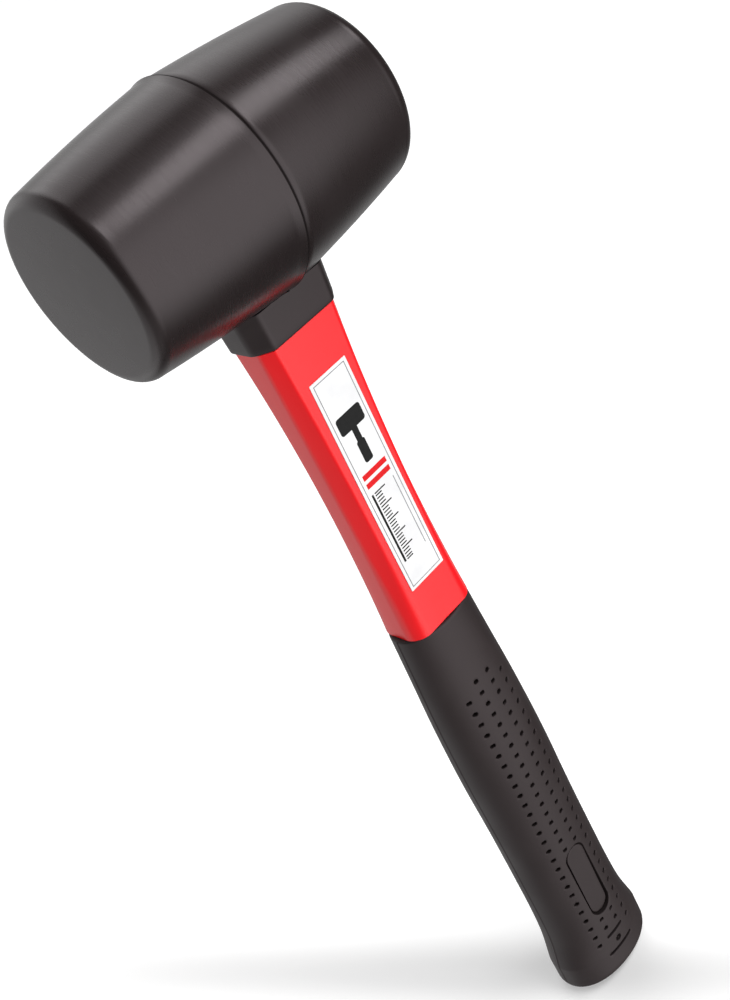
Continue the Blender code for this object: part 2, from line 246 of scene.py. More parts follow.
CORNER_POINTS = 8                    # points on each rounded corner of an octagon
OVERSHOOT = 5.0 * MM                 # how far a cutter runs on below the epoxy or past the collar


# ---- outlines --------------------------------------------

def mix(first, second, share):
    return tuple(a + (b - a) * share for a, b in zip(first, second))


def smooth_step(start, end, value):
    """0 up to start, 1 from end on, and a smooth rise between."""
    share = min(max((value - start) / (end - start), 0), 1)
    return share * share * (3 - 2 * share)


def grown(section, margin):
    """An octagon section with its faces moved outwards by margin.

    It is exact where the slanted faces stand at 45 degrees, and close elsewhere.
    """
    half_width, half_depth, front_flat, side_flat = section
    slide = margin * math.tan(math.pi / 8)
    return (half_width + margin, half_depth + margin, front_flat + slide, side_flat + slide)


def octagon_corners(section):
    a, h, c, s = section
    return [(a, -s), (a, s), (c, h), (-c, h), (-a, s), (-a, -s), (-c, -h), (c, -h)]


def step_towards(point, target, distance):
    dx = target[0] - point[0]
    dy = target[1] - point[1]
    share = distance / math.hypot(dx, dy)
    return (point[0] + dx * share, point[1] + dy * share)


def octagon_ring(section, height, edge):
    """An octagon's outline at one height, its corners rounded back by edge."""
    corners = octagon_corners(section)
    ring = []
    for index, (x, y) in enumerate(corners):
        after = corners[(index + 1) % len(corners)]
        start = step_towards((x, y), corners[index - 1], edge)
        end = step_towards((x, y), after, edge)
        for step in range(CORNER_POINTS):
            t = step / (CORNER_POINTS - 1)
            px = (1 - t) ** 2 * start[0] + 2 * t * (1 - t) * x + t * t * end[0]
            py = (1 - t) ** 2 * start[1] + 2 * t * (1 - t) * y + t * t * end[1]
            ring.append((px, py, height))
    return ring


def arc(centre_x, centre_radius, radius, start_deg, end_deg, count):
    points = []
    for index in range(count):
        angle = math.radians(start_deg + (end_deg - start_deg) * index / (count - 1))
        points.append((centre_x + radius * math.cos(angle), centre_radius + radius * math.sin(angle)))
    return points


def crowned_line(start, end, crown, count):
    """Points between start and end on a line that swells by crown half way along."""
    points = []
    for index in range(1, count):
        share = index / count
        x, radius = mix(start, end, share)
        points.append((x, radius + crown * 4 * share * (1 - share)))
    return points


def graded_steps(start, end, zones, fine, coarse):
    """Places from start to end, close together inside the zones and further apart elsewhere."""
    places = [start]
    while places[-1] < end - fine / 2:
        here = places[-1]
        inside = any(low - coarse < here < high for low, high in zones)
        places.append(min(here + (fine if inside else coarse), end))
    return places


# ---- meshes ----------------------------------------------

def new_object(name, data):
    item = bpy.data.objects.new(name, data)
    bpy.context.scene.collection.objects.link(item)
    return item


def finish_mesh(builder, name, smooth_deg):
    bmesh.ops.recalc_face_normals(builder, faces=builder.faces)
    mesh = bpy.data.meshes.new(name)
    builder.to_mesh(mesh)
    builder.free()
    mesh.shade_smooth()
    mesh.set_sharp_from_angle(angle=math.radians(smooth_deg))
    return new_object(name, mesh)


def loft(name, rings, smooth_deg=30):
    """A closed solid through rings of equal count, capped at both ends.

    A point may carry a fourth value from 0 to 1: how dark it is painted, as shade in a recess.
    """
    builder = bmesh.new()
    recess_shade_layer = builder.verts.layers.float.new("recess")
    loops = []
    for ring in rings:
        loop = [builder.verts.new(point[:3]) for point in ring]
        for vert, point in zip(loop, ring):
            vert[recess_shade_layer] = point[3] if len(point) > 3 else 0
        loops.append(loop)
    count = len(loops[0])
    for lower, upper in zip(loops, loops[1:]):
        for index in range(count):
            after = (index + 1) % count
            builder.faces.new((lower[index], lower[after], upper[after], upper[index]))
    builder.faces.new(loops[0])
    builder.faces.new(loops[-1])
    return finish_mesh(builder, name, smooth_deg)


def revolve(name, profile, segments, place, smooth_deg=30):
    """A closed solid turned from (along, radius, shade) points that start and end on the axis.

    Place gives the position of a point along the axis, at a radius and an angle. The shade from
    0 to 1 is painted shade: how dark a point is painted, as in a recess or crease.
    """
    builder = bmesh.new()
    recess_shade_layer = builder.verts.layers.float.new("recess")
    poles = [builder.verts.new(place(point[0], 0, 0)) for point in (profile[0], profile[-1])]
    loops = []
    for along, radius, shade in profile[1:-1]:
        loop = []
        for index in range(segments):
            vert = builder.verts.new(place(along, radius, 2 * math.pi * index / segments))
            vert[recess_shade_layer] = shade
            loop.append(vert)
        loops.append(loop)
    for index in range(segments):
        after = (index + 1) % segments
        builder.faces.new((poles[0], loops[0][index], loops[0][after]))
        builder.faces.new((poles[1], loops[-1][after], loops[-1][index]))
        for first, second in zip(loops, loops[1:]):
            builder.faces.new((first[index], second[index], second[after], first[after]))
    return finish_mesh(builder, name, smooth_deg)


def cut(target, cutter, smooth_deg=30):
    """Takes the cutter out of the target for good, and removes the cutter."""
    modifier = target.modifiers.new("cut", 'BOOLEAN')
    modifier.operation = 'DIFFERENCE'
    modifier.solver = 'EXACT'
    modifier.object = cutter
    graph = bpy.context.evaluated_depsgraph_get()
    mesh = bpy.data.meshes.new_from_object(target.evaluated_get(graph))
    target.modifiers.clear()
    old = target.data
    target.data = mesh
    mesh.name = target.name
    bpy.data.meshes.remove(old)
    bpy.data.objects.remove(cutter, do_unlink=True)
    mesh.shade_smooth()
    mesh.set_sharp_from_angle(angle=math.radians(smooth_deg))


def add_piece(item, material, slot, *nodes):
    """Gives a piece its material and body, and hides the CAD nodes it stands for; slot is not used."""
    item.data.materials.clear()
    item.data.materials.append(material)
    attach(item, BODY)
    if nodes:
        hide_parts(*nodes)


# ---- materials -------------------------------------------

class Nodes:
    """Short ways to add nodes to a tree and join them."""

    def __init__(self, tree):
        self.tree = tree

    def add(self, kind):
        return self.tree.nodes.new("ShaderNode" + kind)

    def join(self, source, target):
        self.tree.links.new(source, target)

    def feed(self, value, socket):
        """Joins a socket, or sets a number or a colour."""
        if isinstance(value, tuple):
            socket.default_value = (*value, 1.0)
        elif isinstance(value, (int, float)):
            socket.default_value = value
        else:
            self.join(value, socket)

    def math(self, operation, *values):
        node = self.add("Math")
        node.operation = operation
        for socket, value in zip(node.inputs, values):
            self.feed(value, socket)
        return node.outputs[0]

    def length(self, across, up):
        """Length of the vector (across, up)."""
        squares = self.math("ADD", self.math("POWER", across, 2.0), self.math("POWER", up, 2.0))
        return self.math("SQRT", squares)

    def ranged(self, value, low, high, start=0.3, end=0.7):
        """The value's stretch from start to end, mapped smoothly to low to high."""
        node = self.add("MapRange")
        node.interpolation_type = 'SMOOTHSTEP'
        node.inputs["From Min"].default_value = start
        node.inputs["From Max"].default_value = end
        node.inputs["To Min"].default_value = low
        node.inputs["To Max"].default_value = high
        self.join(value, node.inputs["Value"])
        return node.outputs["Result"]


MIX_FIRST = 6                        # places of a colour mix node's two colours and its result
MIX_SECOND = 7
MIX_RESULT = 2


class Finish(Nodes):
    """A procedural material built round one Principled shader."""

    def __init__(self, name, specular=0.5, specular_tint=(1.0, 1.0, 1.0)):
        self.material = bpy.data.materials.new(name)
        self.material.use_nodes = True
        super().__init__(self.material.node_tree)
        self.shader = self.tree.nodes["Principled BSDF"]
        self.shader.inputs["Specular IOR Level"].default_value = specular
        self.shader.inputs["Specular Tint"].default_value = (*specular_tint, 1.0)
        self.place = self.add("TexCoord").outputs["Object"]
        self.normal = None

    def noise(self, per_metre, detail=2.0, roughness=0.5, distortion=0.0):
        """Noise with that many cells a metre along each axis; its value."""
        mapping = self.add("Mapping")
        mapping.inputs["Scale"].default_value = per_metre
        texture = self.add("TexNoise")
        texture.inputs["Scale"].default_value = 1.0
        texture.inputs["Detail"].default_value = detail
        texture.inputs["Roughness"].default_value = roughness
        texture.inputs["Distortion"].default_value = distortion
        self.join(self.place, mapping.inputs["Vector"])
        self.join(mapping.outputs["Vector"], texture.inputs["Vector"])
        return texture.outputs["Fac"]

    def colour(self, source):
        self.join(source, self.shader.inputs["Base Color"])

    def two_colours(self, pattern, first, second):
        """Colours the surface from first to second as the noise pattern rises."""
        factor = self.ranged(pattern, 0, 1)
        node = self.add("Mix")
        node.data_type = 'RGBA'
        self.join(factor, node.inputs["Factor"])
        self.feed(first, node.inputs[MIX_FIRST])
        self.feed(second, node.inputs[MIX_SECOND])
        self.colour(node.outputs[MIX_RESULT])

    def rough(self, source):
        self.join(source, self.shader.inputs["Roughness"])

    def paint_recess_shade(self, colour):
        """Paints shade: turns to a matte shader of this colour where the mesh's recess shade says so."""
        recesses = self.add("Attribute")
        recesses.attribute_name = "recess"
        matte = self.add("BsdfDiffuse")
        matte.inputs["Color"].default_value = (*colour, 1.0)
        blend = self.add("MixShader")
        self.join(self.ranged(recesses.outputs["Fac"], 0.0, 0.9, 0.05, 0.45), blend.inputs["Fac"])
        self.join(self.shader.outputs["BSDF"], blend.inputs[1])
        self.join(matte.outputs["BSDF"], blend.inputs[2])
        self.join(blend.outputs["Shader"], self.tree.nodes["Material Output"].inputs["Surface"])

    def bump(self, height, distance):
        """Adds relief: the height value times distance, in metres."""
        node = self.add("Bump")
        node.inputs["Strength"].default_value = 1.0
        node.inputs["Distance"].default_value = distance
        self.join(height, node.inputs["Height"])
        if self.normal:
            self.join(self.normal, node.inputs["Normal"])
        self.normal = node.outputs["Normal"]
        self.join(self.normal, self.shader.inputs["Normal"])


WARM_SHEEN = (1.0, 0.90, 0.93)       # the black rubbers reflect a little warm
# painted shade for the recesses and creases: a near-black matte colour
PAINTED_RECESS_SHADE = (0.010, 0.008, 0.008)


def make_head_rubber():
    """Satin rubber: lathe-like lines round the barrels, a fine grain and a faint bloom."""
    finish = Finish("head_rubber", specular=0.36, specular_tint=WARM_SHEEN)
    lines = finish.noise((1300, 160, 160), detail=2.0, roughness=0.45)
    grain = finish.noise((2600, 2600, 2600), detail=2.0)
    bloom = finish.noise((38, 38, 38), detail=4.0, distortion=0.6)
    finish.two_colours(bloom, (0.0135, 0.0095, 0.0095), (0.0175, 0.0130, 0.0130))
    spread = finish.math("ADD", finish.ranged(bloom, 0.26, 0.29), finish.ranged(lines, -0.012, 0.012))
    finish.rough(spread)
    finish.bump(lines, 0.003 * MM)
    finish.bump(grain, 0.006 * MM)
    # painted shade: near-black matte on the lip's edge and the crease behind it
    finish.paint_recess_shade(PAINTED_RECESS_SHADE)
    return finish.material


def make_collar_rubber():
    finish = Finish("collar_rubber", specular=0.36, specular_tint=WARM_SHEEN)
    grain = finish.noise((2300, 2300, 2300), detail=2.0)
    bloom = finish.noise((70, 70, 70), detail=4.0, distortion=0.4)
    finish.two_colours(bloom, (0.0150, 0.0100, 0.0100), (0.0200, 0.0145, 0.0145))
    finish.rough(finish.ranged(bloom, 0.38, 0.46))
    finish.bump(grain, 0.014 * MM)
    return finish.material


def make_red_jacket():
    """Glossy moulded plastic with a slight flow waviness."""
    finish = Finish("red_jacket", specular=0.36)
    waves = finish.noise((120, 120, 30), detail=2.0)
    grain = finish.noise((3000, 3000, 900), detail=2.0)
    finish.two_colours(waves, (0.91, 0.0055, 0.0100), (0.95, 0.0070, 0.0120))
    finish.rough(finish.ranged(grain, 0.23, 0.27))
    finish.bump(waves, 0.02 * MM)
    finish.bump(grain, 0.001 * MM)
    return finish.material


def make_grip_rubber():
    """Matte soft rubber with a fine spark-eroded grain."""
    finish = Finish("grip_rubber", specular=0.36, specular_tint=WARM_SHEEN)
    grain = finish.noise((2000, 2000, 2000), detail=3.0, roughness=0.6)
    bloom = finish.noise((60, 60, 40), detail=4.0, distortion=0.5)
    finish.two_colours(bloom, (0.0175, 0.0120, 0.0120), (0.0225, 0.0165, 0.0165))
    finish.rough(finish.ranged(bloom, 0.48, 0.56))
    finish.bump(grain, 0.012 * MM)
    # painted shade: near-black matte in the dots, grooves, dimple and the pad's sunk line
    finish.paint_recess_shade(PAINTED_RECESS_SHADE)
    return finish.material


def make_fibreglass():
    """Pultruded rod: glass strands along its length in a straw-coloured resin."""
    finish = Finish("fibreglass")
    strands = finish.noise((1800, 1800, 25), detail=3.0)
    finish.two_colours(strands, (0.50, 0.45, 0.28), (0.72, 0.69, 0.52))
    finish.rough(finish.ranged(strands, 0.38, 0.55))
    finish.bump(strands, 0.03 * MM)
    return finish.material


def make_epoxy():
    finish = Finish("epoxy")
    cloud = finish.noise((160, 160, 160), detail=3.0)
    finish.two_colours(cloud, (0.46, 0.33, 0.14), (0.62, 0.49, 0.26))
    finish.rough(finish.ranged(cloud, 0.22, 0.38))
    finish.bump(cloud, 0.05 * MM)
    return finish.material


def make_label_face():
    """Coated paper film: white, with faint clouding and a soft tooth."""
    finish = Finish("label_face")
    cloud = finish.noise((90, 90, 90), detail=3.0)
    tooth = finish.noise((1500, 1500, 1500), detail=2.0)
    finish.two_colours(cloud, (0.70, 0.70, 0.71), (0.80, 0.80, 0.80))
    finish.rough(finish.ranged(tooth, 0.38, 0.48))
    finish.bump(tooth, 0.004 * MM)
    return finish.material


def make_ink(name, dark, light):
    """Printed ink: a slightly uneven film."""
    finish = Finish(name, specular=0.15)
    film = finish.noise((700, 700, 700), detail=3.0)
    finish.two_colours(film, dark, light)
    finish.rough(finish.ranged(film, 0.34, 0.46))
    finish.bump(film, 0.003 * MM)
    return finish.material


# ---- head ------------------------------------------------

def lip_shade(x):
    """Painted shade of the lip's edge and the crease behind it: 1 there, fading along the rear barrel."""
    if x < LIP_X - LIP_ROUNDING / 4:
        return 0
    return 1 - smooth_step(LIP_X + LIP_ROUNDING, LIP_X + LIP_ROUNDING + LIP_SHADE_LENGTH, x)


def head_profile(margin):
    """Half of the head's outline from the front pole to the rear pole, grown by margin.

    The points are (x, radius, shade), as revolve takes them.
    """
    front_radius = FRONT_FACE_RADIUS - FRONT_FACE_ROUNDING
    rear_radius = REAR_FACE_RADIUS - REAR_FACE_ROUNDING
    front_edge = (-HEAD_HALF_LENGTH + FACE_CROWN + FRONT_FACE_ROUNDING, front_radius)
    rear_edge = (HEAD_HALF_LENGTH - REAR_FACE_ROUNDING, rear_radius)
    rise = (LIP_RISE_START, LIP_RISE_RADIUS)
    foot = (LIP_X + LIP_FOOT * LIP_ROUNDING, REAR_START_RADIUS)
    points = [(-HEAD_HALF_LENGTH, 0)]
    for step in range(1, FACE_STEPS):
        x = -HEAD_HALF_LENGTH + FACE_CROWN * (step / FACE_STEPS) ** 2
        points.append((x, front_radius * step / FACE_STEPS))
    points += arc(*front_edge, FRONT_FACE_ROUNDING, 180, 90, FACE_CORNER_STEPS)
    points += crowned_line((front_edge[0], FRONT_FACE_RADIUS), rise, FRONT_CROWN, FRONT_STEPS)
    for step in range(RISE_STEPS):
        x = LIP_RISE_START + (LIP_X - LIP_RISE_START) * step / RISE_STEPS
        swell = (step / RISE_STEPS) ** LIP_RISE_POWER
        points.append((x, LIP_RISE_RADIUS + (LIP_RADIUS - LIP_RISE_RADIUS) * swell))
    points += arc(LIP_X, LIP_RADIUS - LIP_ROUNDING, LIP_ROUNDING, 90, 0, LIP_STEPS)
    rear_line = crowned_line(foot, (rear_edge[0], REAR_FACE_RADIUS), REAR_CROWN, REAR_STEPS)
    for x, radius in (foot, *rear_line):
        dip = max(0, 1 - (x - foot[0]) / LIP_CREASE_LENGTH) ** 2
        points.append((x, radius - LIP_CREASE * dip))
    points += arc(*rear_edge, REAR_FACE_ROUNDING, 90, 0, FACE_CORNER_STEPS)
    for step in range(REAR_FACE_STEPS - 1, 0, -1):
        points.append((HEAD_HALF_LENGTH, rear_radius * step / REAR_FACE_STEPS))
    points.append((HEAD_HALF_LENGTH, 0))
    return [(x, radius + margin if radius > 0 else 0, lip_shade(x)) for x, radius in points]


def solid_head(name, margin):
    """The solid head, grown by margin."""
    def place(x, radius, angle):
        return (x, radius * math.sin(angle), AXIS_HEIGHT + radius * math.cos(angle))

    return revolve(name, head_profile(margin), HEAD_SEGMENTS, place)


def tenon_section(height):
    share = (height - SHANK_TOP) / (TENON_TOP - SHANK_TOP)
    return mix(TENON_BASE, TENON_END, share)


def tenon_rings(margin, heights):
    """Rings of the tenon's outer shape, grown by margin."""
    sections = [grown(tenon_section(height), margin) for height in heights]
    return [octagon_ring(section, z, TENON_EDGE) for section, z in zip(sections, heights)]


def make_head():
    head = solid_head("mallet_head", 0)
    margin = EPOXY_WALL + 2 * GAP
    heights = (EPOXY_BOTTOM - OVERSHOOT, TENON_TOP + margin)
    cut(head, loft("socket", tenon_rings(margin, heights)))
    add_piece(head, make_head_rubber(), "head_rubber", "rubber_head")


# ---- handle ----------------------------------------------

def shank_section(height):
    """The shank's section at one height, on a parabola through its three stated sections."""
    t = (COLLAR_BOTTOM - height) / (COLLAR_BOTTOM - GRIP_TOP)
    weights = ((1 - t) * (1 - 2 * t), 4 * t * (1 - t), t * (2 * t - 1))
    sections = (SHANK_AT_COLLAR, SHANK_HALFWAY, SHANK_AT_GRIP)
    return tuple(sum(w * size for w, size in zip(weights, sizes)) for sizes in zip(*sections))


def core_rings(margin, bottom, top):
    """Rings of the core's waisted section, grown by a margin, from bottom to top."""
    rings = []
    for band in range(CORE_BANDS + 1):
        height = bottom + (top - bottom) * band / CORE_BANDS
        share = (height - CORE_BOTTOM) / (TENON_TOP - CORE_BOTTOM)
        waist = CORE_WAIST * 4 * share * (1 - share)
        rings.append(octagon_ring(grown(CORE, margin - waist), height, CORE_EDGE))
    return rings


def make_jacket():
    rings = [octagon_ring(TANG_END, TANG_BOTTOM, SHANK_EDGE)]
    step = GRIP_TOP + GAP
    rings.append(octagon_ring(TANG_TOP, step, SHANK_EDGE))
    shoulder = COLLAR_BOTTOM - GAP
    for index in range(SHANK_STATIONS + 1):
        share = index / SHANK_STATIONS
        height = step + (shoulder - step) * share
        sharpness = smooth_step(0, SHANK_SOFT_SHARE, share)
        edge = SHANK_EDGE_AT_GRIP + (SHANK_EDGE - SHANK_EDGE_AT_GRIP) * sharpness
        rings.append(octagon_ring(shank_section(height), height, edge))
    rings.append(octagon_ring(SHANK_IN_COLLAR, shoulder, SHANK_EDGE))
    rings.append(octagon_ring(SHANK_IN_COLLAR, SHANK_TOP, SHANK_EDGE))
    rings.append(octagon_ring(tenon_section(SHANK_TOP), SHANK_TOP, TENON_EDGE))
    for middle in KEY_GROOVES:
        low = middle - KEY_GROOVE_WIDTH / 2
        high = middle + KEY_GROOVE_WIDTH / 2
        floor = grown(tenon_section(middle), -KEY_GROOVE_DEPTH)
        rings.append(octagon_ring(tenon_section(low), low, TENON_EDGE))
        rings.append(octagon_ring(floor, low + KEY_GROOVE_DEPTH, TENON_EDGE))
        rings.append(octagon_ring(floor, high - KEY_GROOVE_DEPTH, TENON_EDGE))
        rings.append(octagon_ring(tenon_section(high), high, TENON_EDGE))
    rings.append(octagon_ring(TENON_END, TENON_TOP, TENON_EDGE))
    rings.extend(core_rings(GAP, CORE_BOTTOM - GAP, TENON_TOP)[::-1])
    add_piece(loft("handle_shell", rings, smooth_deg=25), make_red_jacket(), "red_jacket", "handle_jacket")


def make_collar():
    rings = []
    for step in range(COLLAR_CHAMFER_STEPS + 1):
        angle = 0.5 * math.pi * step / COLLAR_CHAMFER_STEPS
        inset = COLLAR_CHAMFER * (1 - math.sin(angle))
        height = COLLAR_BOTTOM + COLLAR_CHAMFER * (1 - math.cos(angle))
        rings.append(octagon_ring(grown(COLLAR_AT_BOTTOM, -inset), height, COLLAR_EDGE))
    start = COLLAR_BOTTOM + COLLAR_CHAMFER
    for band in range(1, COLLAR_BANDS + 1):
        share = band / COLLAR_BANDS
        section = mix(COLLAR_AT_BOTTOM, COLLAR_AT_TOP, share)
        rings.append(octagon_ring(section, start + (COLLAR_TOP - start) * share, COLLAR_EDGE))
    collar = loft("collar", rings)
    bore = grown(SHANK_IN_COLLAR, GAP)
    heights = (COLLAR_BOTTOM - OVERSHOOT, COLLAR_TOP + OVERSHOOT)
    cut(collar, loft("bore", [octagon_ring(bore, height, SHANK_EDGE) for height in heights]))
    cut(collar, solid_head("head_clearance", GAP))
    add_piece(collar, make_collar_rubber(), "collar_rubber", "neck_collar")


# ---- grip ------------------------------------------------

def grip_size(height):
    """Half width and half depth of the grip, on a smooth curve through its stations."""
    stations = GRIP_STATIONS
    height = max(height, stations[-1][0])
    index = 0
    while index < len(stations) - 2 and height < stations[index + 1][0]:
        index += 1
    p1 = stations[index]
    p2 = stations[index + 1]
    p0 = stations[max(index - 1, 0)]
    p3 = stations[min(index + 2, len(stations) - 1)]
    span = p2[0] - p1[0]
    t = (height - p1[0]) / span
    sizes = []
    for axis in (1, 2):
        slope_1 = (p2[axis] - p0[axis]) / (p2[0] - p0[0]) * span
        slope_2 = (p3[axis] - p1[axis]) / (p3[0] - p1[0]) * span
        value = (2 * t ** 3 - 3 * t ** 2 + 1) * p1[axis] + (t ** 3 - 2 * t ** 2 + t) * slope_1
        value += (3 * t ** 2 - 2 * t ** 3) * p2[axis] + (t ** 3 - t ** 2) * slope_2
        sizes.append(value)
    return sizes


def dot_share(across, height, column, top, places):
    """How deep in one column of dots a point on the grip lies, and its painted shade: each from 0 to 1."""
    index = round((top - height) / DOT_PITCH)
    if index not in places:
        return 0, 0
    dx = (abs(across) - column) / DOT_HALF_WIDTH
    dz = (height - (top - DOT_PITCH * index)) / DOT_HALF_HEIGHT
    reach = (abs(dx) ** DOT_EXPONENT + abs(dz) ** DOT_EXPONENT) ** (1 / DOT_EXPONENT)
    return 1 - smooth_step(*DOT_WALL, reach), 1 - smooth_step(*DOT_SHADE, reach)


def pad_distance(across, height):
    """Distance outside the pad's racetrack outline; less than 0 inside."""
    top = PAD_TOP - PAD_HALF_WIDTH
    bottom = PAD_BOTTOM + PAD_HALF_WIDTH
    return math.hypot(across, height - min(max(height, bottom), top)) - PAD_HALF_WIDTH


def groove_distance(across, height, middle, half_length):
    past = max(abs(across) - half_length + GROOVE_HALF_WIDTH, 0)
    return math.hypot(past, height - middle)


def recess(across, height, out):
    """Depth and shade of the moulded pattern at a point on the grip's front or back.

    Out is the point's distance from the grip's middle, and the painted shade goes from 0 to 1 in a recess.
    """
    outer, outer_shade = dot_share(across, height, OUTER_DOTS_ACROSS, OUTER_DOTS_TOP, OUTER_DOTS)
    inner, inner_shade = dot_share(across, height, INNER_DOTS_ACROSS, INNER_DOTS_TOP, INNER_DOTS)
    depth = DOT_DEPTH * max(outer, inner)
    shade = max(outer_shade, inner_shade)
    marks = [groove_distance(across, height, *groove) / GROOVE_HALF_WIDTH for groove in GROOVES]
    marks.append(abs(math.hypot(across, height - DIMPLE_HEIGHT) - DIMPLE_RADIUS) / DIMPLE_HALF_WIDTH)
    for away in marks:
        depth = max(depth, GROOVE_DEPTH * (1 - smooth_step(*GROOVE_WALL, away)))
        shade = max(shade, 1 - smooth_step(*GROOVE_SHADE, away))
    edge = pad_distance(across, height)
    if edge < PAD_REACH:
        share = (PAD_TOP - height) / (PAD_TOP - PAD_BOTTOM)
        floor = PAD_FLOOR[0] + (PAD_FLOOR[1] - PAD_FLOOR[0]) * share
        inside = 1 - smooth_step(*PAD_WALL, edge)
        line = 1 - smooth_step(*PAD_LINE_WALL, abs(edge + PAD_LINE_INSET) / PAD_LINE_HALF_WIDTH)
        depth = max(depth, (out - floor) * inside + PAD_LINE_DEPTH * line)
        shade = max(shade, line)
    return depth, shade


def grip_rows():
    """Heights of the grip's rings above the butt's rounding, close together across the pattern."""
    zones = []
    for top, places in ((OUTER_DOTS_TOP, OUTER_DOTS), (INNER_DOTS_TOP, INNER_DOTS)):
        middles = [top - DOT_PITCH * place for place in places]
        zones += [(middle - DOT_ZONE_ALONG, middle + DOT_ZONE_ALONG) for middle in middles]
    outside, inside = PAD_END_ZONE
    zones.append((PAD_TOP - inside, PAD_TOP + outside))
    zones.append((PAD_BOTTOM - outside, PAD_BOTTOM + inside))
    zones += [(groove[0] - GROOVE_ZONE, groove[0] + GROOVE_ZONE) for groove in GROOVES]
    reach = DIMPLE_RADIUS + DIMPLE_HALF_WIDTH
    zones.append((DIMPLE_HEIGHT - reach, DIMPLE_HEIGHT + reach))
    return graded_steps(BUTT_ROUNDING_HEIGHT, GRIP_TOP - GRIP_TOP_ROUNDING, zones, *GRIP_ROW_STEPS)


def grip_columns():
    """Places across the grip's front, close together at the dots and the pad's outline."""
    half = [(across, DOT_ZONE_ACROSS) for across in (OUTER_DOTS_ACROSS, INNER_DOTS_ACROSS)]
    half.append((PAD_HALF_WIDTH, PAD_SIDE_ZONE))
    zones = []
    for middle, reach in half:
        zones += [(middle - reach, middle + reach), (-middle - reach, -middle + reach)]
    return graded_steps(-FEATURE_HALF_WIDTH, FEATURE_HALF_WIDTH, zones, *GRIP_COLUMN_STEPS)


def side_shares():
    """Places round each side: 0 at the seam, and -1 and 1 at the patterns."""
    even = [step / GRIP_SIDE_STEPS for step in range(-GRIP_SIDE_STEPS, GRIP_SIDE_STEPS + 1) if step]
    seam = [share * SEAM_SHARE for share in SEAM_PLACES]
    return sorted(even + seam)


def grip_ring(height, inset, columns, shares, patterned=True):
    """One ring of the grip: right side, back, left side, front."""
    half_width, half_depth = grip_size(height)
    squeeze = (half_width - inset) / half_width
    corner = math.acos((FEATURE_HALF_WIDTH / half_width) ** (GRIP_EXPONENT / 2))
    half_width -= inset
    half_depth -= inset
    middle_x = GRIP_DRIFT * (GRIP_TOP - height) / GRIP_TOP
    power = 2 / GRIP_EXPONENT
    ring = []
    for side in (1, -1):
        for share in shares:
            angle = corner * share
            x = half_width * math.cos(angle) ** power
            y = half_depth * math.copysign(abs(math.sin(angle)) ** power, angle)
            seam = max(0, 1 - abs(y) / SEAM_HALF_WIDTH)
            x += SEAM_HEIGHT * math.sqrt(seam) if patterned else 0
            ring.append((middle_x + side * x, side * y, height))
        for column in columns[-2:0:-1]:
            x = column * squeeze
            out = half_depth * (1 - abs(x / half_width) ** GRIP_EXPONENT) ** (1 / GRIP_EXPONENT)
            depth, shade = recess(column, height, out) if patterned else (0, 0)
            normal = Vector((math.copysign(abs(x / half_width) ** (GRIP_EXPONENT - 1) / half_width, x),
                             (out / half_depth) ** (GRIP_EXPONENT - 1) / half_depth, 0)).normalized()
            x -= normal.x * depth
            out -= normal.y * depth
            ring.append((middle_x + side * x, side * out, height, shade))
    return ring


def octagon_through(section, ring, height):
    """An octagon's outline with one point straight inside each point of a ring."""
    half_width, half_depth, front_flat, side_flat = section
    slant = (half_width + side_flat + front_flat + half_depth) / 2
    points = []
    for point in ring:
        x, y = point[:2]
        length = math.hypot(x, y)
        cosine = abs(x) / length
        sine = abs(y) / length
        reach = min(half_width / max(cosine, 1e-9), half_depth / max(sine, 1e-9), slant / (cosine + sine))
        points.append((reach * x / length, reach * y / length, height))
    return points


def make_grip():
    columns = grip_columns()
    shares = side_shares()
    rings = []
    for index in range(BUTT_RINGS):
        # the steps crowd together at the bottom, where the rounding turns fastest
        share = math.cos(0.5 * math.pi * index / BUTT_RINGS)
        power = BUTT_ROUNDING_EXPONENT
        inset = BUTT_ROUNDING_INSET * (1 - (1 - share ** power) ** (1 / power))
        rings.append(grip_ring(BUTT_ROUNDING_HEIGHT * (1 - share), inset, columns, shares, patterned=False))
    for height in grip_rows():
        rings.append(grip_ring(height, 0, columns, shares))
    for step in range(1, GRIP_TOP_RINGS + 1):
        angle = 0.5 * math.pi * step / GRIP_TOP_RINGS
        height = GRIP_TOP - GRIP_TOP_ROUNDING * (1 - math.sin(angle))
        inset = GRIP_TOP_ROUNDING * (1 - math.cos(angle))
        rings.append(grip_ring(height, inset, columns, shares, patterned=False))
    mouth = rings[-1]
    rings.append(octagon_through(grown(TANG_TOP, GAP), mouth, GRIP_TOP))
    rings.append(octagon_through(grown(TANG_END, GAP), mouth, TANG_BOTTOM - GAP))
    add_piece(loft("grip", rings, smooth_deg=60), make_grip_rubber(), "grip_rubber", "soft_grip")


# ---- label -----------------------------------------------

def label_front(height):
    """Y of the label's printed face at one height."""
    return -shank_section(height)[1] - LABEL_LIFT - LABEL_THICKNESS


def rectangle(left, right, bottom, top):
    return [(left, bottom), (right, bottom), (right, top), (left, top)]


def rounded(left, right, bottom, top, radius, count=6):
    """A rectangle's outline with its corners rounded."""
    points = []
    centres = ((right - radius, bottom + radius), (right - radius, top - radius),
               (left + radius, top - radius), (left + radius, bottom + radius))
    for quarter, (x, z) in enumerate(centres):
        for step in range(count):
            angle = math.radians(90 * (quarter - 1 + step / (count - 1)))
            points.append((x + radius * math.cos(angle), z + radius * math.sin(angle)))
    return points


def sort_faces(builder):
    """Puts the faces in the order of their corners, because extruding leaves them in any order."""
    builder.verts.index_update()
    faces = sorted(builder.faces, key=lambda face: sorted(vert.index for vert in face.verts))
    for place, face in enumerate(faces):
        face.index = place
    builder.faces.sort()


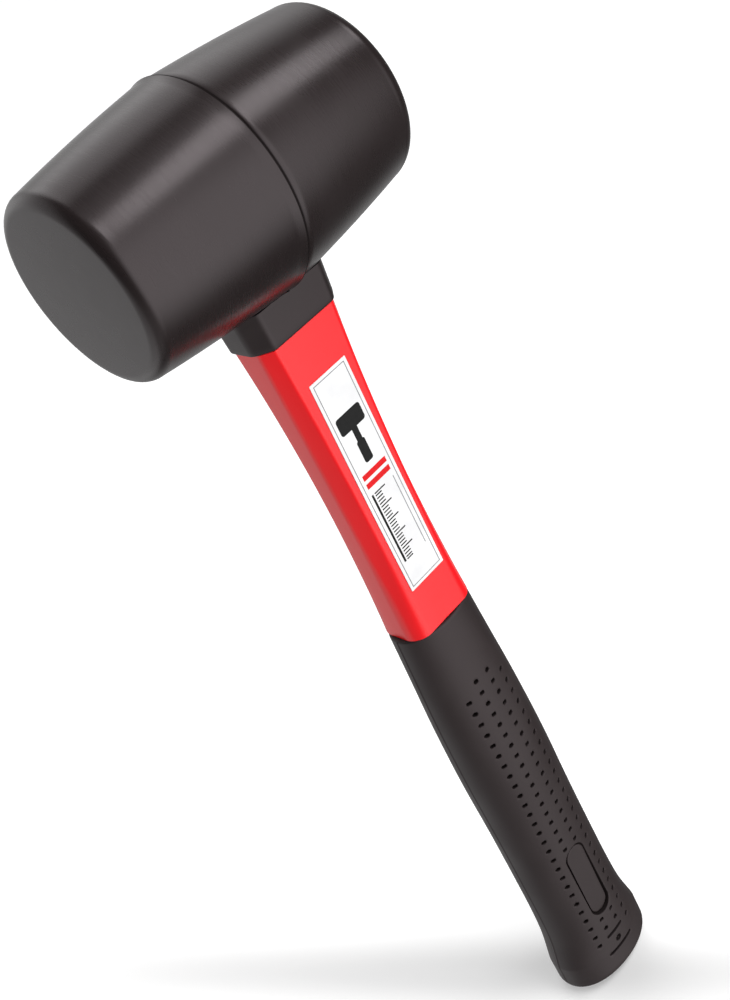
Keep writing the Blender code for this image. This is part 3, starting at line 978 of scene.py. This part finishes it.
def sheet_on_shank(name, outlines, lift, thickness, material):
    """Thin closed sheets cut to (x, z) outlines, that follow the label's face."""
    builder = bmesh.new()
    for outline in outlines:
        builder.faces.new([builder.verts.new((x, 0, z)) for x, z in outline])
    for step in range(1, int((LABEL_TOP - LABEL_BOTTOM) / LABEL_BAND) + 1):
        everything = builder.verts[:] + builder.edges[:] + builder.faces[:]
        bmesh.ops.bisect_plane(builder, geom=everything, dist=1e-7,
                               plane_co=(0, 0, LABEL_BOTTOM + LABEL_BAND * step), plane_no=(0, 0, 1))
    flat = builder.faces[:]
    made = bmesh.ops.extrude_face_region(builder, geom=flat)
    raised = {item for item in made["geom"] if isinstance(item, bmesh.types.BMVert)}
    for vert in builder.verts:
        above = thickness if vert in raised else 0
        vert.co.y = label_front(vert.co.z) - lift - above
    sort_faces(builder)
    item = finish_mesh(builder, name, 30)
    add_piece(item, material, "label_face")
    return item


def make_label():
    outline = rounded(-LABEL_HALF_WIDTH, LABEL_HALF_WIDTH, LABEL_BOTTOM, LABEL_TOP, LABEL_CORNER)
    label = sheet_on_shank("label_sheet", [outline], -LABEL_THICKNESS, LABEL_THICKNESS, make_label_face())
    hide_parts("label")


def print_label():
    """A generic print: a thin frame, a mallet pictogram, red stripes, and a plain measuring scale."""
    black = make_ink("black_ink", (0.003, 0.003, 0.003), (0.007, 0.007, 0.007))
    red = make_ink("red_ink", (0.60, 0.003, 0.006), (0.70, 0.006, 0.010))
    grey = make_ink("grey_ink", (0.09, 0.09, 0.10), (0.15, 0.15, 0.16))

    left = -LABEL_HALF_WIDTH + PRINT_INSET
    right = LABEL_HALF_WIDTH - PRINT_INSET
    bottom = LABEL_BOTTOM + PRINT_INSET
    top = LABEL_TOP - PRINT_INSET
    frame_lines = [
        rectangle(left, left + PRINT_LINE, bottom, top),
        rectangle(right - PRINT_LINE, right, bottom, top),
        rectangle(left + PRINT_LINE, right - PRINT_LINE, bottom, bottom + PRINT_LINE),
        rectangle(left + PRINT_LINE, right - PRINT_LINE, top - PRINT_LINE, top),
    ]
    sheet_on_shank("print_frame", frame_lines, INK_LIFT, INK_THICKNESS, grey)

    icon_top = LABEL_TOP - ICON_DROP
    head_height, head_corner = ICON_HEAD
    neck_end, neck_half = ICON_NECK
    hold_end, hold_half, hold_corner = ICON_HOLD
    head_bottom = icon_top - head_height
    head = rounded(-PRINT_HALF_WIDTH, PRINT_HALF_WIDTH, head_bottom, icon_top, head_corner)
    neck = rectangle(-neck_half, neck_half, icon_top - neck_end, head_bottom)
    hold = rounded(-hold_half, hold_half, icon_top - hold_end, icon_top - neck_end, hold_corner)
    sheet_on_shank("print_mallet", [head, neck, hold], INK_LIFT, INK_THICKNESS, black)

    stripe_top = icon_top - STRIPES_DROP
    stripes = []
    for step in range(2):
        high = stripe_top - STRIPE_PITCH * step
        stripes.append(rectangle(-PRINT_HALF_WIDTH, PRINT_HALF_WIDTH, high - STRIPE_HEIGHT, high))
    sheet_on_shank("print_stripes", stripes, INK_LIFT, INK_THICKNESS, red)

    scale_top = stripe_top - SCALE_DROP
    scale_bottom = scale_top - SCALE_LENGTH
    bar_end = -PRINT_HALF_WIDTH + SCALE_BAR_WIDTH
    marks = [rectangle(-PRINT_HALF_WIDTH, bar_end, scale_bottom, scale_top)]
    for tick in range(SCALE_TICKS):
        reach = LONG_TICK_LENGTH if tick % 5 == 0 else TICK_LENGTH
        z = scale_top - SCALE_LENGTH * tick / (SCALE_TICKS - 1)
        middle = min(max(z, scale_bottom + TICK_HALF_WIDTH), scale_top - TICK_HALF_WIDTH)
        low = middle - TICK_HALF_WIDTH
        marks.append(rectangle(TICK_START, TICK_START + reach, low, middle + TICK_HALF_WIDTH))
    sheet_on_shank("print_scale", marks, INK_LIFT, INK_THICKNESS, black)
    rule = rectangle(RULE_START, RULE_START + PRINT_LINE, scale_bottom, scale_top)
    sheet_on_shank("print_rule", [rule], INK_LIFT, INK_THICKNESS, grey)


# ---- surroundings ----------------------------------------

STUDIO_RADIUS = 4.0
STUDIO_BEND = 1.5                    # radius of the bend from the floor up into the backdrop
STUDIO_WALL_TOP = 4.0
STUDIO_CEILING = (0.7, 6.0)          # share of the radius, and height
STUDIO_TOP = 7.0
STUDIO_SEGMENTS = 96
STUDIO_BEND_STEPS = 12
FLOOR_INNER_RADIUS = 0.6
FLOOR_WHITE = 0.92
FLOOR_GLOW = 0.4
KEY_START = (8, 56)                  # azimuth and elevation of the key light's two ends
KEY_END = (74, 40)
KEY_WIDTH = 0.36
KEY_RADIANCE = 5.9
KEY_DISTANCE = 1.2
TARGET = Vector((0, 0, 208.7 * MM))


def towards(azimuth, elevation):
    """Unit vector out from the object; azimuth 0 is its front and 90 its +X side, in degrees."""
    a = math.radians(azimuth)
    e = math.radians(elevation)
    return Vector((math.sin(a) * math.cos(e), -math.cos(a) * math.cos(e), math.sin(e)))


# The floor's painted shadow: a soft pool darkened into its colour and glow
SHADOW_AZIMUTH = 208.0               # the way the soft shadow falls, in degrees
SHADOW_MIDDLE = 45 * MM              # from the mallet's foot to the middle of the shadow
SHADOW_SIDE = -8 * MM                # how far the shadow's long axis passes beside the foot
SHADOW_HALF_LENGTH = 140 * MM
SHADOW_HALF_WIDTH = 12 * MM
SHADOW_BRIGHTNESS = 0.71             # share of the floor's brightness left in its middle
SHADOW_FADE = (0.2, 1.8)             # where it begins and ends to fade, in half sizes


def make_floor_white():
    """Matte white, with a painted shadow: a little dimmer in a soft pool at the mallet's foot."""
    finish = Finish("floor_white", specular=0.0)
    split = finish.add("SeparateXYZ")
    finish.join(finish.place, split.inputs["Vector"])
    way = towards(SHADOW_AZIMUTH, 0)

    def distance(x_share, y_share, middle, half_size):
        """Distance from the pool's middle along one horizontal direction, over its half size there."""
        x_part = finish.math("MULTIPLY", split.outputs["X"], x_share)
        y_part = finish.math("MULTIPLY", split.outputs["Y"], y_share)
        place = finish.math("SUBTRACT", finish.math("ADD", x_part, y_part), middle)
        return finish.math("DIVIDE", place, half_size)

    along = distance(way.x, way.y, SHADOW_MIDDLE, SHADOW_HALF_LENGTH)
    across = distance(way.y, -way.x, SHADOW_SIDE, SHADOW_HALF_WIDTH)
    # the painted shadow dims both the floor's colour and its glow
    light = finish.ranged(finish.length(along, across), SHADOW_BRIGHTNESS, 1.0, *SHADOW_FADE)
    finish.colour(finish.math("MULTIPLY", light, FLOOR_WHITE))
    finish.shader.inputs["Roughness"].default_value = 1.0
    finish.shader.inputs["Emission Color"].default_value = (1.0, 1.0, 1.0, 1.0)
    finish.join(finish.math("MULTIPLY", light, FLOOR_GLOW), finish.shader.inputs["Emission Strength"])
    return finish.material


def make_floor():
    """A pale floor that bends up into a round backdrop. Only the camera sees it."""
    profile = [(0, 0, 0), (0, FLOOR_INNER_RADIUS, 0), (0, STUDIO_RADIUS - STUDIO_BEND, 0)]
    for step in range(1, STUDIO_BEND_STEPS + 1):
        angle = 0.5 * math.pi * step / STUDIO_BEND_STEPS
        radius = STUDIO_RADIUS - STUDIO_BEND * (1 - math.sin(angle))
        profile.append((STUDIO_BEND * (1 - math.cos(angle)), radius, 0))
    ceiling_share, ceiling_height = STUDIO_CEILING
    profile.append((STUDIO_WALL_TOP, STUDIO_RADIUS, 0))
    profile.append((ceiling_height, STUDIO_RADIUS * ceiling_share, 0))
    profile.append((STUDIO_TOP, 0, 0))

    def place(height, radius, angle):
        return (radius * math.cos(angle), radius * math.sin(angle), height)

    floor = revolve("floor", profile, STUDIO_SEGMENTS, place, smooth_deg=60)
    floor.visible_diffuse = False
    floor.visible_glossy = False
    floor.visible_transmission = False
    floor.visible_shadow = False
    floor.data.materials.append(make_floor_white())


AMBIENT = 0.09                       # brightness of the studio between its panels
PANELS = (                           # azimuth, elevation, half width and half height in degrees, brightness
    (8, -4, 38, 46, 2.4),            # in front of the label
    (148, 50, 34, 26, 1.7),          # above and behind the rear striking face
    (158, -42, 48, 32, 0.38),        # low behind it
    (165, 10, 44, 32, 0.60),         # behind the mallet
    (-150, 20, 30, 34, 0.80),        # above the front striking face
    (-128, -36, 38, 26, 0.80),       # low beside it
    (-72, -52, 55, 26, 0.40),        # low in front of it
    (25, 72, 60, 22, 0.60),          # overhead
)
PANEL_SOFTNESS = 0.45                # share of a panel's half size over which its edge fades


def make_world():
    """A dark studio with soft panels all round the mallet."""
    world = bpy.data.worlds.new("studio")
    bpy.context.scene.world = world
    world.use_nodes = True
    studio = Nodes(world.node_tree)
    split = studio.add("SeparateXYZ")
    studio.join(studio.add("TexCoord").outputs["Generated"], split.inputs["Vector"])
    front = studio.math("MULTIPLY", split.outputs["Y"], -1.0)
    azimuth = studio.math("DEGREES", studio.math("ARCTAN2", split.outputs["X"], front))
    elevation = studio.math("DEGREES", studio.math("ARCSINE", split.outputs["Z"]))
    total = AMBIENT
    for panel_azimuth, panel_elevation, half_width, half_height, brightness in PANELS:
        turn = studio.math("WRAP", studio.math("SUBTRACT", azimuth, panel_azimuth), 180.0, -180.0)
        across = studio.math("DIVIDE", turn, half_width)
        up = studio.math("DIVIDE", studio.math("SUBTRACT", elevation, panel_elevation), half_height)
        away = studio.length(across, up)
        light = studio.ranged(away, brightness, 0.0, 1 - PANEL_SOFTNESS, 1 + PANEL_SOFTNESS)
        total = studio.math("ADD", total, light)
    background = studio.tree.nodes["Background"]
    background.inputs["Color"].default_value = (1.0, 1.0, 1.0, 1.0)
    studio.join(total, background.inputs["Strength"])


def make_softbox(name, start, end, width, radiance):
    """A long soft light between two directions, aimed at the object."""
    first = TARGET + towards(*start) * KEY_DISTANCE
    last = TARGET + towards(*end) * KEY_DISTANCE
    middle = (first + last) / 2
    data = bpy.data.lights.new(name, 'AREA')
    data.shape = 'RECTANGLE'
    data.size = (last - first).length
    data.size_y = width
    data.energy = radiance * math.pi * data.size * data.size_y
    light = new_object(name, data)
    z_axis = (middle - TARGET).normalized()
    x_axis = (last - first).normalized()
    y_axis = z_axis.cross(x_axis).normalized()
    x_axis = y_axis.cross(z_axis)
    light.matrix_world = Matrix.Translation(middle) @ Matrix((x_axis, y_axis, z_axis)).transposed().to_4x4()
    light.visible_camera = False


VIEW_AZIMUTH = -30.862
VIEW_ELEVATION = 32.757
VIEW_ROLL = -26.668
VIEW_DISTANCE = 414.857 * MM
VIEW_LENS = 54.474
VIEW_SHIFT = (-0.00858, 0.00309)


def make_camera():
    data = bpy.data.cameras.new("camera")
    data.lens = VIEW_LENS
    data.shift_x, data.shift_y = VIEW_SHIFT
    data.clip_start = 0.01
    data.clip_end = 50
    camera = new_object("camera", data)
    back = towards(VIEW_AZIMUTH, VIEW_ELEVATION)
    right = Vector((0, 0, 1)).cross(back).normalized()
    up = back.cross(right)
    roll = math.radians(VIEW_ROLL)
    x_axis = right * math.cos(roll) + up * math.sin(roll)
    y_axis = up * math.cos(roll) - right * math.sin(roll)
    turn = Matrix((x_axis, y_axis, back)).transposed().to_4x4()
    camera.matrix_world = Matrix.Translation(TARGET + back * VIEW_DISTANCE) @ turn
    bpy.context.scene.camera = camera


# ---- everything ------------------------------------------

# Blender's factory scene holds three objects that don't belong here
for old in list(bpy.data.objects):
    if old.name in ("Cube", "Light", "Camera"):
        bpy.data.objects.remove(old, do_unlink=True)

make_head()
make_jacket()
make_collar()
make_grip()
make_label()
print_label()
frame["nodes"]["fibreglass_core"].material_slots[0].material = make_fibreglass()
frame["nodes"]["epoxy_bond"].material_slots[0].material = make_epoxy()

make_floor()
make_world()
make_softbox("key", KEY_START, KEY_END, KEY_WIDTH, KEY_RADIANCE)
make_camera()
bpy.context.scene.view_settings.view_transform = 'Standard'
